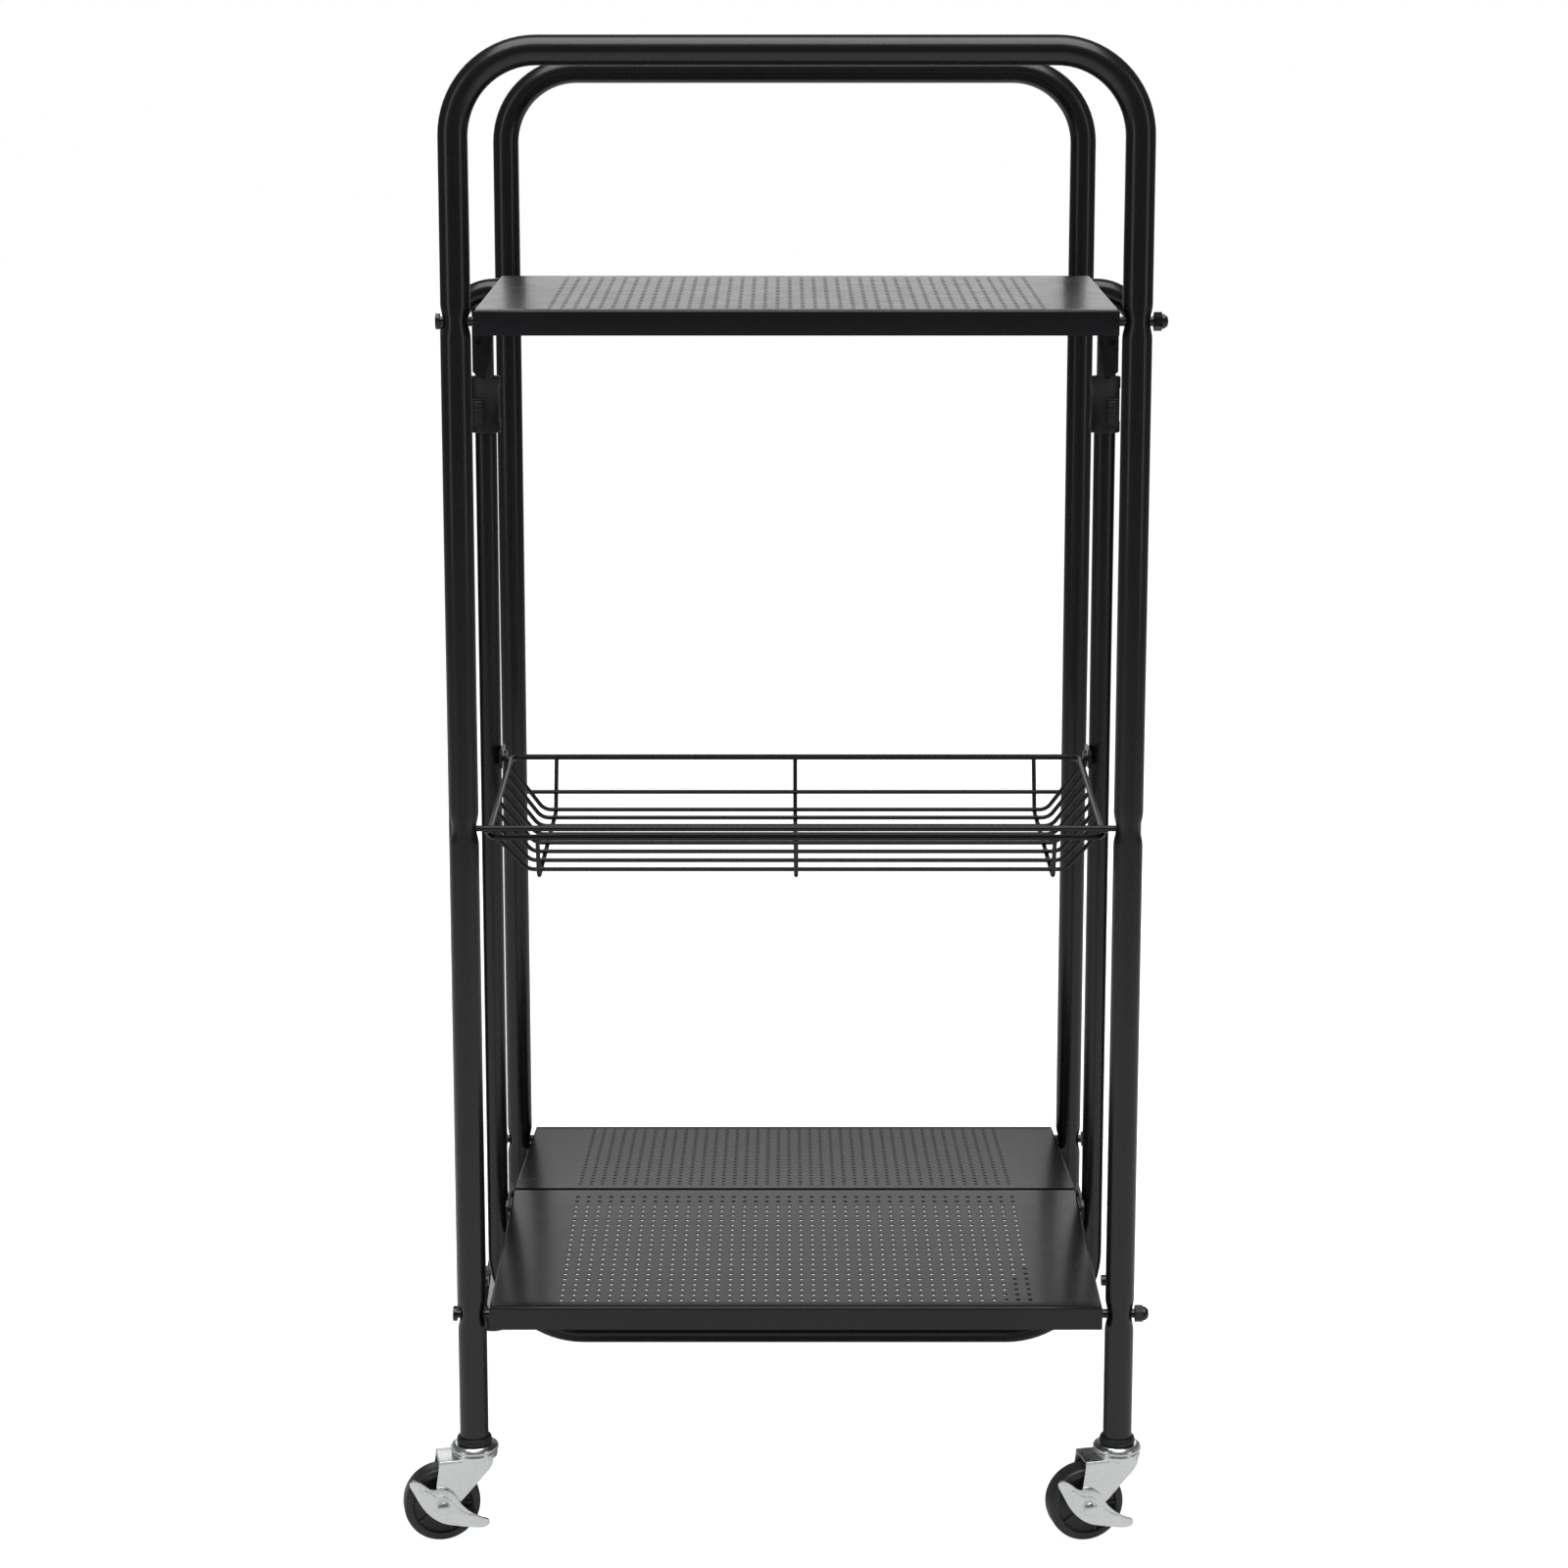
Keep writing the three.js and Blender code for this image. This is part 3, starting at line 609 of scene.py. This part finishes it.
def perforated_sheet():
    """The flat sheet of half a shelf, a single layer with its rows of holes."""
    half_width = (HOLE_COLUMNS + 1) * HOLE_PITCH / 2
    half_depth = (HOLE_ROWS + 1) * HOLE_PITCH / 2
    mid_y = (SHEET_FRONT + SHEET_FOLD) / 2
    deselect()
    bpy.ops.mesh.primitive_grid_add(x_subdivisions=HOLE_COLUMNS + 1, y_subdivisions=HOLE_ROWS + 1, size=1,
                                    location=(0, mid_y, PIVOT_DEPTH))
    sheet = named_new("pan")
    edit_all()
    swell((2 * half_width, 2 * half_depth, 1), (0, mid_y, PIVOT_DEPTH))
    settle()

    # The outermost row of cells is widened into the plain margins.
    for side in (-1, 1):
        choose(sheet, "VERT", lambda v: side * v.co.x > half_width - TOUCH)
        bpy.ops.transform.translate(value=(side * (SHELF_HALF - half_width), 0, 0))
    for side, edge in ((-1, SHEET_FRONT), (1, SHEET_FOLD)):
        choose(sheet, "VERT", lambda v: side * (v.co.y - mid_y) > half_depth - TOUCH)
        bpy.ops.transform.translate(value=(0, edge - mid_y - side * half_depth, 0))

    # A hole at each inner crossing of the grid.
    def inner(v):
        return abs(v.co.x) < half_width - 1e-3 and abs(v.co.y - mid_y) < half_depth - 1e-3

    choose(sheet, "VERT", inner)
    bpy.ops.mesh.bevel(offset=HOLE_R, offset_type="OFFSET", segments=2, profile=ROUND_HOLE, affect="VERTICES")
    choose(sheet, "FACE", lambda f: f.area < 4 * HOLE_R ** 2)
    bpy.ops.mesh.delete(type="FACE")
    return sheet


def turn_lips_down(sheet):
    """Draws the lips down along the outer edge and both sides, and rounds their bends."""
    def rim(e):
        a, b = (sheet.data.vertices[i].co for i in e.vertices)
        on_front = max(a.y, b.y) < SHEET_FRONT + TOUCH
        on_side = min(abs(a.x), abs(b.x)) > SHELF_HALF - TOUCH
        return on_front or on_side

    def bend_line(e):
        a, b = (sheet.data.vertices[i].co for i in e.vertices)
        return rim(e) and min(a.z, b.z) > PIVOT_DEPTH - 1e-5

    choose(sheet, "EDGE", rim)
    pull((0, 0, -LIP))
    choose(sheet, "EDGE", bend_line)
    bpy.ops.mesh.bevel(offset=0.0016, segments=3, affect="EDGES")
    choose(sheet, "VERT", lambda v: v.co.y > SHEET_FOLD - TOUCH and v.co.z < PIVOT_DEPTH - 0.003)
    bpy.ops.transform.translate(value=(0, -0.004, 0.0005))
    edit_all()
    bpy.ops.mesh.normals_make_consistent(inside=False)
    settle()
    top = max(sheet.data.polygons, key=lambda f: f.center.z)
    if top.normal.z < 0:
        edit_all()
        bpy.ops.mesh.flip_normals()
        settle()


def pan():
    """Half a shelf, lying flat with its outer pivot at the origin and its fold edge towards +Y."""
    sheet = perforated_sheet()
    turn_lips_down(sheet)
    modify(sheet, "SOLIDIFY", thickness=SHEET, offset=-1, use_even_offset=True)
    turn = Matrix.Rotation(math.radians(90), 4, "Z")
    nose = [(-0.013, 0.0073), (-0.013, -0.0060), *arc(0, 0, 0.0073, -80, 90, 12)]
    pieces = [sheet]
    for side in (-1, 1):
        ear = plate("ear", nose, SHEET, 0.0002)
        x = side * (SHELF_HALF - 0.0005) + (SHEET if side < 0 else 0)
        pieces.append(put(ear, Matrix.Translation((x, LINK, 0)) @ turn))
    pieces.append(block("stiffener", (-SHELF_HALF + 0.0015, LINK + 0.0120, PIVOT_DEPTH - 0.0105),
                        (SHELF_HALF - 0.0015, LINK + 0.0130, PIVOT_DEPTH - 0.0008), 0.0002))
    return smooth(joined("pan", pieces), 35)


def shelves():
    flat = pan()
    for level in ("top", "bottom"):
        for end, side in ENDS:
            y = FRONT_Y if side < 0 else REAR_Y
            spin = Matrix.Rotation(math.pi, 4, "Z") if side > 0 else Matrix.Identity(4)
            tilt = Matrix.Rotation(SLOPE, 4, "X")
            place = Matrix.Translation((CENTRE_X, y, PIVOT_Z[level])) @ spin @ tilt
            half = copied(flat, f"perforated_{level}_shelf_{end}", place)
            finish_piece(half, SHELF_COAT, "shelf_steel", f"{level}_{end}_half", f"{level}_shelf_{end}")
    bpy.data.objects.remove(flat)


shelves()


# ---------------------------------------------------------------- wire basket
RIM_R = 0.002
WIRE_R = 0.0015
LONG_WIRES = 8
CROSS_WIRES = (-0.168, 0, 0.168)


def basket():
    """The welded basket, laid out from its pivot rod at the origin and tilted like the shelves."""
    back = LINK + 0.008
    rim_front, rim_back = Vector((0, 0.003, -0.007)), Vector((0, back, -0.001))
    floor_front, floor_back = Vector((0, 0.018, -0.036)), Vector((0, back - 0.018, -0.037))
    w = BASKET_HALF
    rod_end = LEG_X - 0.003
    last = LONG_WIRES - 1
    wires = [rod("rod", [(-rod_end, 0, 0), (rod_end, 0, 0)], RIM_R)]
    corners = [(0, *rim_front.yz), (w, *rim_front.yz), (w, *rim_back.yz), (-w, *rim_back.yz),
               (-w, *rim_front.yz), (0, *rim_front.yz)]
    wires.append(rod("rim", corners, RIM_R, 0.009, closed=True))
    for side in (-1, 1):
        tie = [(side * (w - 0.004), 0, 0), (side * (w + 0.0006), 0.0035, -0.0025), (side * w, 0.013, -0.0064)]
        wires.append(rod("tie", tie, RIM_R, 0.003, steps=3))
        eye = turned("eye", [(0.0025, -0.0012), (0.0056, -0.0012), (0.006, -0.0008), (0.006, 0.0008),
                             (0.0056, 0.0012), (0.0025, 0.0012)], 32, closed=True)
        turn = Matrix.Rotation(math.radians(90), 4, "Y")
        wires.append(put(eye, Matrix.Translation((side * (w + 0.0032), LINK, 0)) @ turn))
    for i in range(LONG_WIRES):
        spot = floor_front.lerp(floor_back, i / last)
        y, z = spot.y, spot.z + 2 * WIRE_R - 0.0003
        rim_z = rim_front.lerp(rim_back, (y - rim_front.y) / (rim_back.y - rim_front.y)).z
        run = [(-w, y, rim_z), (-BASKET_FLOOR_HALF, y, z), (BASKET_FLOOR_HALF, y, z), (w, y, rim_z)]
        wires.append(rod("long_wire", run, WIRE_R, 0.010, 10, 6))
    behind = rim_back.lerp(floor_back + Vector((0, 0.003, 0)), 0.62)
    reach = w - 0.012
    wires.append(rod("back_wire", [(-reach, behind.y - 0.002, behind.z), (reach, behind.y - 0.002, behind.z)],
                     WIRE_R, sides=10))
    for x in CROSS_WIRES:
        run = [(x, *rim_front.yz), (x, floor_front.y - 0.008, floor_front.z),
               (x, floor_back.y + 0.003, floor_back.z), (x, *rim_back.yz)]
        wires.append(rod("cross_wire", run, WIRE_R, 0.006, 10, 6))
    whole = smooth(joined("basket_wires", wires))
    put(whole, Matrix.Translation((CENTRE_X, FRONT_Y, BASKET_Z)) @ Matrix.Rotation(SLOPE, 4, "X"))
    finish_piece(whole, WIRE_COAT, "black_wire", "basket", "wire_basket")


basket()


# ---------------------------------------------------------------- casters
SPOKES = 5


def wheel_shape():
    """A wheel lying flat: hub, dished web and tread in one section, with five spokes across the web."""
    half = 0.009
    side = [(0.0034, half), (0.0066, half), (0.0072, half - 0.0005), (0.0078, half - 0.0022),
            (0.0185, half - 0.0026), (0.0192, half - 0.0022), (0.0198, half - 0.0009),
            (0.0206, half - 0.0006), (0.0232, half - 0.0007), (0.0244, half - 0.0014),
            (0.0252, half - 0.0028), (WHEEL_R, half - 0.0048)]
    mirrored = [(r, -z) for r, z in reversed(side)]
    rim = turned("wheel", side + mirrored, 96, closed=True)
    pieces = [rim]
    for k in range(SPOKES):
        spoke = block("spoke", (0.0074, -0.0008, -half + 0.0012), (0.0192, 0.0008, half - 0.0012), 0.0003)
        pieces.append(put(spoke, Matrix.Rotation(2 * math.pi * k / SPOKES, 4, "Z")))
    return smooth(joined("wheel", pieces), 35)


def stem_shape():
    profile = [(0.0066, 0.0505), (0.007, 0.0509), (0.007, 0.0531), (0.0066, 0.0535), (0.004, 0.0544),
               (0.004, 0.0608), (0.0156, 0.0608), (0.016, 0.0612), (0.016, 0.0624), (0.0155, 0.0632),
               (0.0138, 0.0637), (0.0128, 0.0646), (0.0085, 0.0649), (0.0055, 0.0648), (0.0055, 0.093)]
    return smooth(turned("stem", profile), 35)


def socket_shape():
    profile = [(0.0059, 0.0652), (0.0111, 0.0652), (0.0117, 0.0660), (0.0115, 0.0686), (0.0106, 0.0697),
               (0.0075, 0.0697), (0.0075, 0.096), (0.0059, 0.096)]
    return smooth(turned("socket", profile, 48, closed=True), 35)


def fork_shape():
    """A pressed fork: two cheeks, a flat roof and a turned race cup."""
    inner, thick = 0.010, 0.002
    outline = [(0.0112, 0.0566), (0.0108, 0.0532), (0.0085, 0.0492),
               *arc(-TRAIL, WHEEL_R, 0.0067, -50, -190, 14), (-0.0252, 0.0535), (-0.0250, 0.0566)]
    pieces = []
    for y in (-inner - thick, inner):
        pieces.append(put(plate("cheek", outline, thick, 0.0005), Matrix.Translation((0, y, 0))))
    pieces.append(block("roof", (-0.0251, -0.0119, 0.0549), (0.0112, 0.0119, 0.0572), 0.0006))
    pieces.append(turned("cup", [(0.0046, 0.0552), (0.0138, 0.0552), (0.0152, 0.0562), (0.0154, 0.0580),
                                 (0.0154, 0.0594), (0.0148, 0.0603), (0.0118, 0.0604), (0.0105, 0.0594),
                                 (0.0046, 0.0594)], 64, closed=True))
    return smooth(joined("fork", pieces), 35)


def axle_shape():
    """A bolt along Y with a domed head at one end and a hexagon nut at the other."""
    end = 0.012
    shank = [(0.0030, -end - 0.0054), (0.0046, -end - 0.0044), (0.005, -end - 0.0030),
             (0.005, -end - 0.0026), (0.003, -end - 0.0026), (0.003, end + 0.003)]
    bolt = turned("bolt", shank, 40)
    deselect()
    bpy.ops.mesh.primitive_cylinder_add(vertices=6, radius=0.0052, depth=0.0036,
                                        location=(0, 0, end + 0.0022))
    nut = named_new("nut")
    settle()
    modify(nut, "BEVEL", width=0.0005, segments=2, limit_method="ANGLE")
    whole = joined("axle", [bolt, nut])
    return smooth(put(whole, Matrix.Rotation(math.radians(-90), 4, "X")), 35)


LEVER_TILT = math.radians(31)
LEVER_RISE = 0.0050
# Corners of the brake lever's outline round its axle, in millimetres.
LEVER_EDGE = ((-27, 0), (-26, 4.2), (-20, 4.8), (-11, 3.0), (-4, 8.2), (4, 7.6), (13, 2.6), (27, 1.0),
              (34, 3.0), (36, -1.5), (32, -5.6), (18, -10.6), (6, -14.6), (-8, -12), (-22, -3.2))


def rounded_corners(points, passes=2):
    """Cuts the corners of a closed outline until it runs as one smooth curve."""
    for _ in range(passes):
        cut = []
        for (ax, az), (bx, bz) in zip(points, points[1:] + points[:1]):
            cut.append((0.75 * ax + 0.25 * bx, 0.75 * az + 0.25 * bz))
            cut.append((0.25 * ax + 0.75 * bx, 0.25 * az + 0.75 * bz))
        points = cut
    return points


def lever_shape():
    """A leaf across the wheel: a short narrow lobe behind the axle and a long one ahead of it."""
    face = -0.0124
    edge = rounded_corners([(x / 1000, z / 1000) for x, z in LEVER_EDGE])
    leaf = put(plate("leaf", edge, 0.0016, 0.0005), Matrix.Translation((0, face - 0.0017, 0)))
    swage = [(0.66 * x + 0.0006, 0.60 * z - 0.0012) for x, z in edge]
    raised = put(plate("raised", swage, 0.0007, 0.0003), Matrix.Translation((0, face - 0.0022, 0)))
    whole = put(joined("leaf", [leaf, raised]),
                Matrix.Translation((0, 0, LEVER_RISE)) @ Matrix.Rotation(LEVER_TILT, 4, "Y"))
    ring = [(0.0034, 0), (0.0058, 0), (0.0062, 0.0004), (0.0062, 0.0011), (0.0034, 0.0011)]
    boss = turned("boss", ring, 40, closed=True)
    put(boss, Matrix.Translation((0, face - 0.0016, 0)) @ Matrix.Rotation(math.radians(90), 4, "X"))
    return smooth(joined("lever", [whole, boss]), 30)


def casters():
    shapes = {"wheel": wheel_shape(), "stem": stem_shape(), "socket": socket_shape(), "fork": fork_shape(),
              "axle": axle_shape(), "lever": lever_shape()}
    for end, end_side in ENDS:
        for hand, side in HANDS:
            corner = f"{end}_{hand}"
            y = FRONT_Y if end_side < 0 else REAR_Y
            stand = Matrix.Translation((CENTRE_X + side * LEG_X, y, 0))
            swivel = stand @ Matrix.Rotation(CASTER_YAW, 4, "Z")
            hub = swivel @ Matrix.Translation((-TRAIL, 0, WHEEL_R))
            upright = hub @ Matrix.Rotation(math.radians(90), 4, "X")
            socket = copied(shapes["socket"], f"leg_socket_{corner}", stand)
            finish_piece(socket, BLACK_PLASTIC, "black_plastic", f"{end}_frame", f"stem_socket_{corner}")
            stem = copied(shapes["stem"], f"stem_and_race_{corner}", stand)
            finish_piece(stem, ZINC, "zinc_plate", f"{end}_frame", f"caster_stem_{corner}")
            fork = copied(shapes["fork"], f"fork_{corner}", swivel)
            finish_piece(fork, ZINC, "zinc_plate", f"swivel_{corner}", f"caster_fork_{corner}")
            axle = copied(shapes["axle"], f"axle_{corner}", hub)
            finish_piece(axle, ZINC, "zinc_plate", f"swivel_{corner}", f"axle_bolt_{corner}")
            roller = copied(shapes["wheel"], f"roller_wheel_{corner}", upright)
            finish_piece(roller, WHEEL_PLASTIC, "wheel_plastic", f"roller_{corner}", f"wheel_{corner}")
            if end_side < 0:
                lever = copied(shapes["lever"], f"lever_{corner}", hub)
                finish_piece(lever, ZINC, "zinc_plate", f"brake_{hand}", f"brake_lever_{corner}")
    for shape in shapes.values():
        bpy.data.objects.remove(shape)


casters()


# ---------------------------------------------------------------- studio
ROOM_LIGHT = 0.10
# Each softbox: name, place, width and height in metres, power in watts.
SOFTBOXES = (
    ("left_softbox", (-1.9, -1.5, 1.3), (0.5, 1.9), 4),
    ("right_softbox", (1.9, -1.2, 1.2), (0.35, 1.8), 3),
    ("overhead_softbox", (0.0, -0.8, 2.9), (2.6, 2.2), 62),
    ("rear_softbox", (0.0, 3.2, 1.7), (3.4, 1.9), 19),
)
LENS_MM = 69.69
SENSOR_MM = 36
LENS_SHIFT = (0.0005, -0.080)
EYE_LEFT = 0.0084
EYE_BACK = 2.1086
EYE_HEIGHT = 0.9025
LOOK_DOWN = 9.071        # degrees below level


def lit_for_camera(tree, seen, unseen):
    """Gives what the camera sees directly one shader, and what light and reflections meet another."""
    path = tree.nodes.new("ShaderNodeLightPath")
    mix = tree.nodes.new("ShaderNodeMixShader")
    tree.links.new(path.outputs["Is Camera Ray"], mix.inputs["Fac"])
    tree.links.new(unseen, mix.inputs[1])
    tree.links.new(seen, mix.inputs[2])
    out = next(node for node in tree.nodes if node.type in ("OUTPUT_MATERIAL", "OUTPUT_WORLD"))
    tree.links.new(mix.outputs["Shader"], out.inputs["Surface"])


def floor_paper():
    """White paper that stays white to the eye and throws only a little light up onto the cart."""
    paper = bpy.data.materials.new("studio_paper")
    paper.use_nodes = True
    nodes = paper.node_tree.nodes
    bright = nodes["Principled BSDF"]
    bright.inputs["Base Color"].default_value = (0.9, 0.9, 0.9, 1)
    bright.inputs["Roughness"].default_value = 1
    bright.inputs["Specular IOR Level"].default_value = 0
    bright.inputs["Emission Color"].default_value = (1, 1, 1, 1)
    bright.inputs["Emission Strength"].default_value = 0.92
    dim = nodes.new("ShaderNodeBsdfDiffuse")
    dim.inputs["Color"].default_value = (0.90, 0.90, 0.90, 1)
    lit_for_camera(paper.node_tree, bright.outputs["BSDF"], dim.outputs["BSDF"])
    return paper


def studio():
    deselect()
    bpy.ops.mesh.primitive_plane_add(size=60, location=(0, 0, 0))
    floor = named_new("studio_floor")
    floor.data.materials.append(floor_paper())

    world = bpy.data.worlds.new("studio")
    bpy.context.scene.world = world
    world.use_nodes = True
    room = world.node_tree.nodes["Background"]
    room.inputs["Color"].default_value = (1, 1, 1, 1)
    room.inputs["Strength"].default_value = ROOM_LIGHT
    white = world.node_tree.nodes.new("ShaderNodeBackground")
    white.inputs["Color"].default_value = (1, 1, 1, 1)
    lit_for_camera(world.node_tree, white.outputs["Background"], room.outputs["Background"])

    aim = Vector((CENTRE_X, CENTRE_Y, 0.55))
    for name, spot, size, power in SOFTBOXES:
        light = bpy.data.lights.new(name, "AREA")
        light.shape = "RECTANGLE"
        light.size, light.size_y = size
        light.energy = power
        lamp = bpy.data.objects.new(name, light)
        bpy.context.scene.collection.objects.link(lamp)
        lamp.location = spot
        lamp.rotation_euler = (aim - Vector(spot)).to_track_quat("-Z", "Y").to_euler()
        lamp.visible_camera = False


def camera():
    lens = bpy.data.cameras.new("camera")
    lens.lens = LENS_MM
    lens.sensor_width = SENSOR_MM
    lens.shift_x, lens.shift_y = LENS_SHIFT
    eye = bpy.data.objects.new("camera", lens)
    bpy.context.scene.collection.objects.link(eye)
    eye.location = (CENTRE_X - EYE_LEFT, CENTRE_Y - EYE_BACK, EYE_HEIGHT)
    eye.rotation_euler = (math.radians(90 - LOOK_DOWN), 0, 0)
    bpy.context.scene.camera = eye


studio()
camera()
bpy.context.scene.view_settings.view_transform = "Standard"
